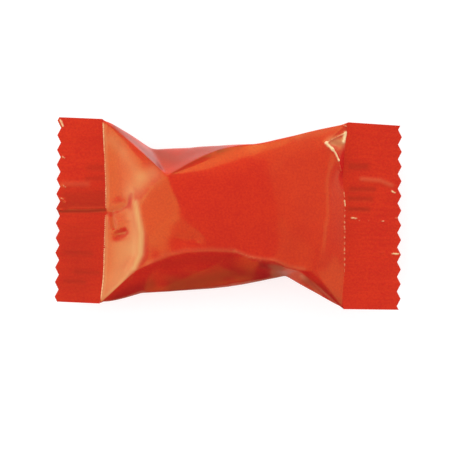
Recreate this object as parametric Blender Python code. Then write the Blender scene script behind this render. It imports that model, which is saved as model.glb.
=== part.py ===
"""A butter mint in a plain red flow wrap, lying on its back.

One closed pillow of film holds the mint. Both ends are pressed flat into ribbed crimp seals
with a zigzag cut edge, and the lengthwise fin seal is folded flat along the back.

Sizes are in millimetres and are scaled to metres when a mesh is made. +X runs along the wrap,
+Y across it and +Z up. "left" is -X, "right" +X, "front" -Y and "back" +Y. The origin lies on
the floor under the middle of the wrap's box.
"""

import math

import bmesh
import bpy
from mathutils import Vector
from mathutils.bvhtree import BVHTree

MM = 0.001

# Driving sizes of the wrap.
SEAL_Z = 4.9            # height of the flat crimps above the floor
TOP_Z = 10.9            # height of the film over the mint
CRIMP_SHEET = 0.3       # the two welded layers of film, as a solid
RIB = 0.16              # depth of the ribs pressed along the crimps
TOOTH_PITCH = 1.97      # zigzag cut: width of one tooth
TOOTH_DEPTH = 0.5
FIRST_TIP_LEFT = 0.45   # distance from a crimp's back corner to its first tooth tip
FIRST_TIP_RIGHT = 1.55
MIN_STEP = 0.12         # share of a tooth that a cut edge's last stretch has at least
CRIMP_SAG = 0.35        # how far the free edge of a crimp hangs below the seal line
CRIMP_BITE = 0.8        # how far a crimp reaches into the pillow, to weld with it
EAR_BITE = 0.1          # share of that reach left at the ears
BITE_RAMP = 0.17        # share of the crimp's width over which the reach grows from the ears
FIN_WIDTH = 4.2         # lengthwise fin seal on the back
FIN_SHEET = 0.25
FIN_EMBED = 0.3         # how far the fin reaches into the pillow, to weld with it
FIN_MIN = 0.1           # least height of the fin's solid before that
FIN_INSET = 1.2         # how far the fin's ends stay inside the seal lines
FIN_STEPS = 36
REST_FRONT = -5.4       # y of the line where the pillow's front touches the floor
SINK = 1.3              # how far the lower film's corners start below the floor
SINK_BACK = 2.2         # the same for the middle of the back
SMOOTHING = 2           # subdivision levels of the folded pillow

FILM_COLOR = (0.64, 0.038, 0.022, 1.0)
FILM_ROUGHNESS = 0.2
FILM_METALLIC = 0.0


def lift(share):
    """Height of a fold that stands this share of the way from the crimps to the top."""
    return SEAL_Z + share * (TOP_Z - SEAL_Z)


# Corners of the film's outline, where the upper and the lower film meet.
RIM = {
    "ear_back_left": (-17.0, 12.75, SEAL_Z),
    "brow_back_left": (-15.5, 12.2, SEAL_Z),
    "waist_back_left": (-10.4, 8.85, 3.9),
    "side_back": (-5.4, 9.0, 5.4),
    "side_back_right": (-1.2, 9.2, 8.2),
    "waist_back": (2.9, 9.3, lift(0.76)),
    "brow_back": (4.8, 9.5, lift(0.74)),
    "brow_back_right": (10.4, 11.1, lift(0.42)),
    "ear_back_right": (15.95, 12.3, SEAL_Z),
    "ear_front_right": (15.35, -12.75, SEAL_Z),
    "brow_front_right": (12.0, -10.9, 4.9),
    "waist_front_right": (7.5, -8.3, 6.7),
    "side_front_right": (4.4, -9.1, 7.4),
    "side_front": (1.2, -9.85, 6.4),
    "side_front_left": (-5.3, -10.35, 5.8),
    "waist_front_left": (-11.8, -10.75, 5.1),
    "brow_front_left": (-15.0, -11.75, 4.9),
    "ear_front_left": (-17.35, -12.0, SEAL_Z),
}

# Seal lines, where each crimp ends: (x, y) from back to front between the ears.
SEAL_LEFT = [(-16.8, 8.1), (-16.5, 3.0), (-16.6, 0.2), (-16.75, -4.6), (-16.9, -8.7)]
SEAL_RIGHT = [(15.7, 10.2), (15.2, 4.8), (15.8, 0.2), (15.7, -5.3), (15.45, -8.8)]

# Cut edges of the crimps: (x, y) of the back and the front end.
EDGE_LEFT = [(-23.0, 13.0), (-23.4, -11.75)]
EDGE_RIGHT = [(23.2, 11.85), (23.0, -12.85)]

# Corners of the folds in the upper film, over the mint.
UPPER = {
    "tuck_back": (-8.2, 5.1, lift(0.90)),
    "ear_ridge": (-12.4, 9.0, lift(0.48)),
    "ear_band": (-11.6, 6.4, lift(0.59)),
    "end_left_1": (-10.3, 3.5, lift(0.74)),
    "end_left_2": (-11.9, 1.6, lift(0.58)),
    "end_left_3": (-11.4, -2.8, lift(0.60)),
    "end_left_4": (-11.5, -5.9, lift(0.54)),
    "end_left_5": (-12.6, -7.6, lift(0.46)),
    "cross_1": (-6.4, 0.9, lift(0.95)),
    "cross_2": (-4.5, -2.3, lift(0.94)),
    "tuck_front": (0.6, -5.0, lift(0.87)),
    "front_1": (-10.8, -6.8, lift(0.58)),
    "front_2": (-8.6, -5.7, lift(0.66)),
    "front_3": (-5.7, -5.0, lift(0.81)),
    "front_4": (-2.1, -4.9, lift(0.87)),
    "cheek_1": (-1.7, -6.8, lift(0.66)),
    "cheek_2": (-5.7, -8.7, lift(0.38)),
    "lip_1": (3.4, -6.05, lift(0.80)),
    "lip_2": (5.7, -6.15, lift(0.78)),
    "lip_3": (7.9, -7.2, lift(0.62)),
    "lip_4": (9.2, -7.5, lift(0.54)),
    "chin_1": (4.8, -7.3, lift(0.62)),
    "chin_2": (7.0, -7.7, lift(0.50)),
    "jaw": (11.3, -8.9, lift(0.26)),
    "back_1": (-5.2, 6.8, lift(0.86)),
    "back_2": (-2.9, 8.0, lift(0.82)),
    "back_3": (-0.2, 8.9, lift(0.79)),
    "band_1": (-5.7, 5.95, lift(0.88)),
    "band_2": (-2.0, 7.4, lift(0.86)),
    "band_3": (1.5, 8.7, lift(0.82)),
    "shelf_1": (-4.6, 5.3, lift(0.96)),
    "shelf_2": (-0.9, 5.85, lift(0.98)),
    "shelf_3": (2.0, 6.5, lift(0.97)),
    "shelf_4": (4.4, 7.7, lift(0.90)),
    "shelf_5": (8.5, 8.8, lift(0.66)),
    "crown_1": (-1.0, 1.5, lift(1.0)),
    "crown_2": (6.0, 1.0, lift(0.93)),
    "end_right_1": (12.9, 9.55, lift(0.36)),
    "end_right_2": (13.2, 4.7, lift(0.35)),
    "end_right_3": (13.4, 0.2, lift(0.35)),
    "end_right_4": (12.6, -4.0, lift(0.44)),
    "end_right_5": (11.3, -7.6, lift(0.42)),
    "pleat": (14.7, 7.0, lift(0.22)),
}

# Corners of the lower film. They start below the floor, and press_flat lifts the film to it.
LOWER = {
    "flat_front_left": (-10.0, -6.4, -SINK),
    "flat_front": (0.0, -7.4, -SINK),
    "flat_front_right": (9.4, -6.0, -SINK),
    "flat_right": (10.8, 0.0, -SINK),
    "flat_back_right": (9.8, 6.4, -SINK),
    "flat_back": (0.0, 7.8, -SINK_BACK),
    "flat_back_left": (-10.0, 6.0, -SINK),
    "flat_left": (-11.0, 0.0, -SINK),
}

for i, (x, y) in enumerate(SEAL_LEFT):
    RIM[f"seal_left_{i + 1}"] = (x, y, SEAL_Z)
for i, (x, y) in enumerate(SEAL_RIGHT):
    RIM[f"seal_right_{i + 1}"] = (x, y, SEAL_Z)

# Facets between the folds, one a line, as runs of corners.
UPPER_FACETS = """
ear_back_left seal_left_1 ear_band
seal_left_1 seal_left_2 end_left_1 ear_band
ear_band end_left_1 tuck_back
seal_left_2 seal_left_3 end_left_2 end_left_1
seal_left_3 seal_left_4 end_left_3 end_left_2
seal_left_4 end_left_4 end_left_3
seal_left_4 seal_left_5 end_left_5 end_left_4
seal_left_5 ear_front_left end_left_5
ear_back_left ear_band ear_ridge
ear_ridge ear_band tuck_back
ear_back_left ear_ridge brow_back_left
ear_ridge tuck_back waist_back_left brow_back_left
tuck_back back_1 side_back waist_back_left
back_1 back_2 side_back
back_2 side_back_right side_back
back_2 back_3 side_back_right
back_3 waist_back side_back_right
tuck_back end_left_1 cross_1
end_left_1 end_left_2 end_left_3 cross_1
end_left_3 end_left_4 front_2 cross_2 cross_1
end_left_4 end_left_5 front_1 front_2
cross_2 front_2 front_3 front_4
cross_2 front_4 tuck_front
ear_front_left brow_front_left end_left_5
end_left_5 brow_front_left waist_front_left front_1
front_1 waist_front_left cheek_2 front_2
front_2 cheek_2 front_3
front_3 cheek_2 cheek_1 front_4
front_4 cheek_1 tuck_front
waist_front_left side_front_left cheek_2
cheek_2 side_front_left side_front cheek_1
cheek_1 side_front tuck_front
tuck_front side_front side_front_right chin_1 lip_1
chin_1 side_front_right waist_front_right chin_2
lip_1 chin_1 chin_2 lip_3 lip_2
chin_2 waist_front_right lip_4 lip_3
lip_4 waist_front_right brow_front_right jaw
jaw brow_front_right ear_front_right
lip_4 jaw end_right_5
end_right_5 jaw ear_front_right
tuck_back band_1 back_1
back_1 band_1 band_2 back_2
back_2 band_2 band_3 back_3
back_3 band_3 waist_back
tuck_back shelf_1 band_1
band_1 shelf_1 shelf_2 band_2
band_2 shelf_2 shelf_3 band_3
band_3 shelf_3 shelf_4 brow_back waist_back
brow_back shelf_4 shelf_5 brow_back_right
brow_back_right shelf_5 end_right_1 ear_back_right
tuck_back cross_1 crown_1 shelf_1
cross_1 cross_2 crown_1
cross_2 tuck_front crown_1
shelf_1 crown_1 shelf_2
shelf_2 crown_1 crown_2 shelf_3
shelf_3 crown_2 shelf_4
shelf_4 crown_2 shelf_5
shelf_5 crown_2 end_right_2 end_right_1
crown_2 end_right_3 end_right_2
crown_2 end_right_4 end_right_3
crown_1 tuck_front lip_1 crown_2
crown_2 lip_1 lip_2 lip_3
crown_2 lip_3 lip_4 end_right_5 end_right_4
end_right_1 pleat end_right_2
pleat seal_right_2 end_right_2
end_right_2 seal_right_2 seal_right_3 end_right_3
end_right_3 seal_right_3 seal_right_4 end_right_4
end_right_4 seal_right_4 seal_right_5 end_right_5
end_right_5 seal_right_5 ear_front_right
ear_back_right end_right_1 seal_right_1
end_right_1 pleat seal_right_1
seal_right_1 pleat seal_right_2
"""

LOWER_FACETS = """
ear_back_left seal_left_1 flat_back_left
seal_left_1 seal_left_2 flat_left flat_back_left
seal_left_2 seal_left_3 flat_left
seal_left_3 seal_left_4 flat_left
seal_left_4 seal_left_5 flat_front_left flat_left
seal_left_5 ear_front_left flat_front_left
ear_back_left flat_back_left brow_back_left
brow_back_left flat_back_left waist_back_left
waist_back_left flat_back_left side_back
side_back flat_back_left flat_back
side_back flat_back side_back_right
side_back_right flat_back waist_back
waist_back flat_back brow_back
brow_back flat_back flat_back_right brow_back_right
brow_back_right flat_back_right ear_back_right
ear_back_right flat_back_right seal_right_1
seal_right_1 flat_back_right flat_right seal_right_2
seal_right_2 flat_right seal_right_3
seal_right_3 flat_right seal_right_4
seal_right_4 flat_right flat_front_right seal_right_5
seal_right_5 flat_front_right ear_front_right
ear_front_right flat_front_right brow_front_right
brow_front_right flat_front_right waist_front_right
waist_front_right flat_front_right side_front_right
side_front_right flat_front_right flat_front side_front
side_front flat_front side_front_left
side_front_left flat_front flat_front_left waist_front_left
waist_front_left flat_front_left brow_front_left
brow_front_left flat_front_left ear_front_left
flat_front_left flat_front flat_left
flat_left flat_front flat_back flat_back_left
flat_front flat_front_right flat_right
flat_right flat_back_right flat_back flat_front
"""

# How crisp the folds are: 0 is a soft bend and 1 a knife edge.
FOLDS = [
    (1.0, "ear_back_left seal_left_1 seal_left_2 seal_left_3 seal_left_4 seal_left_5 ear_front_left"),
    (1.0, "ear_back_right seal_right_1 seal_right_2 seal_right_3 seal_right_4 seal_right_5 ear_front_right"),
    (0.9, "ear_back_left brow_back_left waist_back_left"),
    (0.6, "waist_back_left side_back side_back_right waist_back"),
    (0.7, "waist_back brow_back"),
    (0.8, "brow_back brow_back_right ear_back_right"),
    (0.9, "ear_front_right brow_front_right waist_front_right"),
    (0.6, "waist_front_right side_front_right side_front side_front_left waist_front_left"),
    (0.9, "waist_front_left brow_front_left ear_front_left"),
    (0.7, "ear_back_left ear_ridge tuck_back"),
    (0.55, "tuck_back back_1 back_2 back_3 waist_back"),
    (0.6, "tuck_back band_1 band_2 band_3 waist_back"),
    (0.2, "tuck_back shelf_1 shelf_2 shelf_3 shelf_4 shelf_5"),
    (0.7, "waist_back_left tuck_back"),
    (0.6, "tuck_back end_left_1 end_left_2 end_left_3 end_left_4 end_left_5"),
    (0.7, "end_left_5 ear_front_left"),
    (0.5, "end_left_5 front_1 front_2 front_3 front_4 tuck_front"),
    (0.6, "tuck_front cheek_1 cheek_2 waist_front_left"),
    (0.6, "tuck_front lip_1 lip_2 lip_3 lip_4 end_right_5 ear_front_right"),
    (0.5, "lip_1 chin_1 chin_2 lip_3"),
    (0.7, "chin_2 waist_front_right lip_4"),
    (0.6, "lip_4 jaw ear_front_right"),
    (0.3, "ear_back_left ear_band tuck_back"),
    (0.4, "end_right_1 end_right_2 end_right_3 end_right_4 end_right_5"),
    (0.7, "end_right_1 pleat seal_right_2"),
    (0.6, "ear_back_right end_right_1 seal_right_1"),
    (0.2, "tuck_back cross_1 cross_2 tuck_front"),
]


def clear_scene():
    for old in list(bpy.data.objects):
        bpy.data.objects.remove(old)


def film_material():
    material = bpy.data.materials.new("film")
    material.use_nodes = True
    shader = material.node_tree.nodes["Principled BSDF"]
    shader.inputs["Base Color"].default_value = FILM_COLOR
    shader.inputs["Roughness"].default_value = FILM_ROUGHNESS
    shader.inputs["Metallic"].default_value = FILM_METALLIC
    return material


def link_mesh(name, mesh):
    obj = bpy.data.objects.new(name, mesh)
    bpy.context.scene.collection.objects.link(obj)
    return obj


def folded_pillow():
    """The closed pillow of film: a cage of flat facets, rounded by subdivision along its folds."""
    corners = {**RIM, **UPPER, **LOWER}
    cage = bmesh.new()
    verts = {name: cage.verts.new(Vector(point) * MM) for name, point in corners.items()}
    for line in (UPPER_FACETS + LOWER_FACETS).split("\n"):
        if line:
            cage.faces.new([verts[name] for name in line.split()])
    crease = cage.edges.layers.float.new("crease_edge")
    for sharpness, run in FOLDS:
        names = run.split()
        for a, b in zip(names, names[1:]):
            cage.edges.get((verts[a], verts[b]))[crease] = sharpness
    bmesh.ops.recalc_face_normals(cage, faces=cage.faces)
    mesh = bpy.data.meshes.new("pillow_cage")
    cage.to_mesh(mesh)
    cage.free()
    obj = link_mesh("wrapper", mesh)
    smooth = obj.modifiers.new("film_bend", "SUBSURF")
    smooth.levels = smooth.render_levels = SMOOTHING
    apply_modifiers(obj)
    press_flat(obj.data)
    return obj


def press_flat(mesh):
    """Lays the underside on the floor at REST_FRONT, and rising from there over the fin seal."""
    for vert in mesh.vertices:
        share = (vert.co.y / MM - REST_FRONT) / (FIN_WIDTH - REST_FRONT)
        vert.co.z = max(vert.co.z, FIN_SHEET * min(1.0, max(0.0, share)) * MM)


def apply_modifiers(obj):
    """Turns what the modifiers make into the object's own mesh."""
    graph = bpy.context.evaluated_depsgraph_get()
    mesh = bpy.data.meshes.new_from_object(obj.evaluated_get(graph))
    obj.modifiers.clear()
    obj.data = mesh


def crimp(name, seal, ears, edge, first_tip):
    """One crimp: a thin ribbed sheet from inside the pillow's seal line out to its zigzag edge.

    seal is the line of (x, y) corners between the two ears, edge the (x, y) of the cut edge's
    back and front end, and first_tip the distance from the back end to the first tooth tip.
    """
    line = [ears[0][:2], *seal, ears[1][:2]]
    out = math.copysign(1.0, edge[0][0])
    length = math.dist(*edge)
    sheet = bmesh.new()
    rows = []
    for along in tooth_stations(length, first_tip):
        share = along / length
        to_tip = abs((along - first_tip) / TOOTH_PITCH - round((along - first_tip) / TOOTH_PITCH))
        edge_x, edge_y = (edge[0][k] + share * (edge[1][k] - edge[0][k]) for k in range(2))
        edge_x -= out * TOOTH_DEPTH * 2 * to_tip
        rib = RIB * (0.5 - 2 * to_tip)
        y = line[0][1] + share * (line[-1][1] - line[0][1])
        seal_x = x_on_line(line, y)
        to_ear = min(share, 1 - share)
        bite = CRIMP_BITE * min(1.0, EAR_BITE + to_ear / BITE_RAMP)
        fin = FIN_SHEET if 0 < y < FIN_WIDTH else 0.0
        row = []
        for point in (
            (seal_x - out * bite, y, SEAL_Z),
            (seal_x, y, SEAL_Z),
            (edge_x, edge_y, SEAL_Z - CRIMP_SAG + rib),
        ):
            row.append(sheet.verts.new((Vector(point) + Vector((0, 0, CRIMP_SHEET / 2))) * MM))
            row.append(sheet.verts.new((Vector(point) - Vector((0, 0, CRIMP_SHEET / 2 + fin))) * MM))
        rows.append(row)
    for near, far in zip(rows, rows[1:]):
        for k in (0, 2):
            sheet.faces.new((near[k], near[k + 2], far[k + 2], far[k]))
            sheet.faces.new((near[k + 1], far[k + 1], far[k + 3], near[k + 3]))
        sheet.faces.new((near[0], far[0], far[1], near[1]))
        sheet.faces.new((near[4], near[5], far[5], far[4]))
    for row in (rows[0], rows[-1]):
        sheet.faces.new((row[0], row[1], row[3], row[2]))
        sheet.faces.new((row[2], row[3], row[5], row[4]))
    bmesh.ops.recalc_face_normals(sheet, faces=sheet.faces)
    mesh = bpy.data.meshes.new(name)
    sheet.to_mesh(mesh)
    sheet.free()
    return link_mesh(name, mesh)


def tooth_stations(length, first_tip):
    """Distances along a cut edge of its two ends and of the tips and notches between them."""
    half = TOOTH_PITCH / 2
    count = int(length / half) + 2
    inner = [first_tip + i * half for i in range(-1, count)]
    clear = MIN_STEP * TOOTH_PITCH
    return [0.0, *(d for d in inner if clear < d < length - clear), length]


def x_on_line(line, y):
    """x of a seal line at this y, the line being corners from back to front."""
    for (x0, y0), (x1, y1) in zip(line, line[1:]):
        if y >= y1 - 1e-9:
            return x0 + (x1 - x0) * (y0 - y) / (y0 - y1)
    return line[-1][0]


def fin_seal(pillow):
    """The lengthwise seal, folded flat: a strip that follows the underside from crimp to crimp."""
    graph = bpy.context.evaluated_depsgraph_get()
    under = BVHTree.FromObject(pillow, graph)
    left = SEAL_LEFT[1][0] + FIN_INSET
    right = SEAL_RIGHT[2][0] - FIN_INSET
    strip = bmesh.new()
    rows = []
    for i in range(FIN_STEPS + 1):
        x = left + i / FIN_STEPS * (right - left)
        row = []
        for y in (0.0, FIN_WIDTH):
            hit = under.ray_cast(Vector((x, y, -5)) * MM, Vector((0, 0, 1)))[0]
            film_z = hit.z / MM
            outer = max(film_z - FIN_SHEET, 0.0)
            row.append(strip.verts.new(Vector((x, y, outer)) * MM))
            row.append(strip.verts.new(Vector((x, y, max(film_z, outer + FIN_MIN) + FIN_EMBED)) * MM))
        rows.append(row)
    for near, far in zip(rows, rows[1:]):
        for a, b in ((0, 1), (1, 3), (3, 2), (2, 0)):
            strip.faces.new((near[a], near[b], far[b], far[a]))
    for row in (rows[0], rows[-1]):
        strip.faces.new((row[0], row[1], row[3], row[2]))
    bmesh.ops.recalc_face_normals(strip, faces=strip.faces)
    mesh = bpy.data.meshes.new("fin_seal")
    strip.to_mesh(mesh)
    strip.free()
    return link_mesh("fin_seal", mesh)


def weld(obj, others):
    """Joins the other solids to obj by one Boolean union, then removes them."""
    group = bpy.data.collections.new("welded")
    bpy.context.scene.collection.children.link(group)
    for other in others:
        bpy.context.scene.collection.objects.unlink(other)
        group.objects.link(other)
    union = obj.modifiers.new("weld", "BOOLEAN")
    union.operation = "UNION"
    union.operand_type = "COLLECTION"
    union.collection = group
    union.solver = "EXACT"
    apply_modifiers(obj)
    for other in others:
        bpy.data.objects.remove(other)
    bpy.data.collections.remove(group)


def centre_on_floor(obj):
    """Moves the mesh so that its box is centred on the origin and stands on the floor."""
    points = [vert.co for vert in obj.data.vertices]
    middle = [(min(p[k] for p in points) + max(p[k] for p in points)) / 2 for k in range(2)]
    floor = min(p.z for p in points)
    for vert in obj.data.vertices:
        vert.co -= Vector((middle[0], middle[1], floor))


def build():
    clear_scene()
    wrapper = folded_pillow()
    left_ears = (RIM["ear_back_left"], RIM["ear_front_left"])
    right_ears = (RIM["ear_back_right"], RIM["ear_front_right"])
    left = crimp("crimp_left", SEAL_LEFT, left_ears, EDGE_LEFT, FIRST_TIP_LEFT)
    right = crimp("crimp_right", SEAL_RIGHT, right_ears, EDGE_RIGHT, FIRST_TIP_RIGHT)
    weld(wrapper, [left, right, fin_seal(wrapper)])
    centre_on_floor(wrapper)
    wrapper.data.materials.clear()
    wrapper.data.materials.append(film_material())
    wrapper.data.shade_smooth()
    wrapper.data.set_sharp_from_angle(angle=math.radians(25))


build()
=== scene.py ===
import math

import bmesh
import bpy
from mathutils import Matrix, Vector, noise
from mathutils.bvhtree import BVHTree


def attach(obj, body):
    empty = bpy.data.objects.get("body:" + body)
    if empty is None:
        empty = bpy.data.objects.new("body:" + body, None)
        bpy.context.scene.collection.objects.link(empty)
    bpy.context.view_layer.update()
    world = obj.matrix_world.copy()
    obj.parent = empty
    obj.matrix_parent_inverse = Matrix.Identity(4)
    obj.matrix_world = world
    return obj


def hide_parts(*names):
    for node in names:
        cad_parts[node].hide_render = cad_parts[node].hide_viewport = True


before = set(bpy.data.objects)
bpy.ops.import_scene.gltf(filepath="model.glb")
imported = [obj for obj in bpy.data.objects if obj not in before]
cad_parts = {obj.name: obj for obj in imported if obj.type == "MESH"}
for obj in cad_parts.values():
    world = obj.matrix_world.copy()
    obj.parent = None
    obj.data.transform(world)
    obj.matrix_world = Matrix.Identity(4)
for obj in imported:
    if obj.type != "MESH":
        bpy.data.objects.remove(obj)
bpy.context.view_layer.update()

# ---------------------------------------------------------------------------------------------
# The film over the mint: one sheet of red lacquered packaging film, wrapped round the sweet as a
# tube and drawn flat at both ends, so that it gathers in tucks and folds over the mint.
# It is a cage of flat facets between the folds, rounded by subdivision, with fine relief added.
# Lengths are in millimetres: left and right are -X and +X, front and back -Y and +Y.
# ---------------------------------------------------------------------------------------------
MM = 0.001
SEAL_Z = 4.9
TOP_Z = 10.9
FIN_WIDTH = 4.2
FIN_SHEET = 0.25
REST_FRONT = -5.4
SINK = 1.3
SINK_BACK = 2.2
FILM_LEVELS = 4


def lift(share):
    """Height of a fold that stands this share of the way from the crimps to the top."""
    return SEAL_Z + share * (TOP_Z - SEAL_Z)


# Corners of the outline, where the upper and the lower film meet.
RIM = {
    "ear_back_left": (-17.0, 12.75, SEAL_Z),
    "brow_back_left": (-15.5, 12.2, SEAL_Z),
    "waist_back_left": (-10.4, 8.85, 3.9),
    "side_back": (-5.4, 9.0, 5.4),
    "side_back_right": (-1.2, 9.2, 8.2),
    "waist_back": (2.9, 9.3, lift(0.76)),
    "brow_back": (4.8, 9.5, lift(0.74)),
    "brow_back_right": (10.4, 11.1, lift(0.42)),
    "ear_back_right": (15.95, 12.3, SEAL_Z),
    "ear_front_right": (15.35, -12.75, SEAL_Z),
    "brow_front_right": (12.0, -10.9, 4.9),
    "waist_front_right": (7.5, -8.3, 6.7),
    "side_front_right": (4.4, -9.1, 7.4),
    "side_front": (1.2, -9.85, 6.4),
    "side_front_left": (-5.3, -10.35, 5.8),
    "waist_front_left": (-11.8, -10.75, 5.1),
    "brow_front_left": (-15.0, -11.75, 4.9),
    "ear_front_left": (-17.35, -12.0, SEAL_Z),
}

# Seal lines, where each crimp ends: (x, y) from back to front between the ears.
SEAL_LEFT = [(-16.8, 8.1), (-16.5, 3.0), (-16.6, 0.2), (-16.75, -4.6), (-16.9, -8.7)]
SEAL_RIGHT = [(15.7, 10.2), (15.2, 4.8), (15.8, 0.2), (15.7, -5.3), (15.45, -8.8)]
for side, seal in (("left", SEAL_LEFT), ("right", SEAL_RIGHT)):
    for i, (x, y) in enumerate(seal):
        RIM[f"seal_{side}_{i + 1}"] = (x, y, SEAL_Z)

# Corners of the folds in the upper film.
UPPER = {
    "tuck_back": (-8.2, 5.1, lift(0.90)),
    "ear_ridge": (-12.4, 9.0, lift(0.48)),
    "ear_band": (-11.6, 6.4, lift(0.59)),
    "end_left_1": (-10.3, 3.5, lift(0.74)),
    "end_left_2": (-11.9, 1.6, lift(0.58)),
    "end_left_3": (-11.4, -2.8, lift(0.60)),
    "end_left_4": (-11.5, -5.9, lift(0.54)),
    "end_left_5": (-12.6, -7.6, lift(0.46)),
    "cross_1": (-6.4, 0.9, lift(0.95)),
    "cross_2": (-4.5, -2.3, lift(0.94)),
    "tuck_front": (0.6, -5.0, lift(0.87)),
    "front_1": (-10.8, -6.8, lift(0.58)),
    "front_2": (-8.6, -5.7, lift(0.66)),
    "front_3": (-5.7, -5.0, lift(0.81)),
    "front_4": (-2.1, -4.9, lift(0.87)),
    "cheek_1": (-1.7, -6.8, lift(0.66)),
    "cheek_2": (-5.7, -8.7, lift(0.38)),
    "lip_1": (3.4, -6.05, lift(0.80)),
    "lip_2": (5.7, -6.15, lift(0.78)),
    "lip_3": (7.9, -7.2, lift(0.62)),
    "lip_4": (9.2, -7.5, lift(0.54)),
    "chin_1": (4.8, -7.3, lift(0.62)),
    "chin_2": (7.0, -7.7, lift(0.50)),
    "jaw": (11.3, -8.9, lift(0.26)),
    "back_1": (-5.2, 6.8, lift(0.86)),
    "back_2": (-2.9, 8.0, lift(0.82)),
    "back_3": (-0.2, 8.9, lift(0.79)),
    "band_1": (-5.7, 5.95, lift(0.88)),
    "band_2": (-2.0, 7.4, lift(0.86)),
    "band_3": (1.5, 8.7, lift(0.82)),
    "shelf_1": (-4.6, 5.3, lift(0.96)),
    "shelf_2": (-0.9, 5.85, lift(0.98)),
    "shelf_3": (2.0, 6.5, lift(0.97)),
    "shelf_4": (4.4, 7.7, lift(0.90)),
    "shelf_5": (8.5, 8.8, lift(0.66)),
    "crown_1": (-1.0, 1.5, lift(1.0)),
    "crown_2": (6.0, 1.0, lift(0.93)),
    "end_right_1": (12.9, 9.55, lift(0.36)),
    "end_right_2": (13.2, 4.7, lift(0.35)),
    "end_right_3": (13.4, 0.2, lift(0.35)),
    "end_right_4": (12.6, -4.0, lift(0.44)),
    "end_right_5": (11.3, -7.6, lift(0.42)),
    "pleat": (14.7, 7.0, lift(0.22)),
}

# Corners of the lower film. They start below the table, and folded_pillow presses the film flat on it.
LOWER = {
    "flat_front_left": (-10.0, -6.4, -SINK),
    "flat_front": (0.0, -7.4, -SINK),
    "flat_front_right": (9.4, -6.0, -SINK),
    "flat_right": (10.8, 0.0, -SINK),
    "flat_back_right": (9.8, 6.4, -SINK),
    "flat_back": (0.0, 7.8, -SINK_BACK),
    "flat_back_left": (-10.0, 6.0, -SINK),
    "flat_left": (-11.0, 0.0, -SINK),
}

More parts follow.
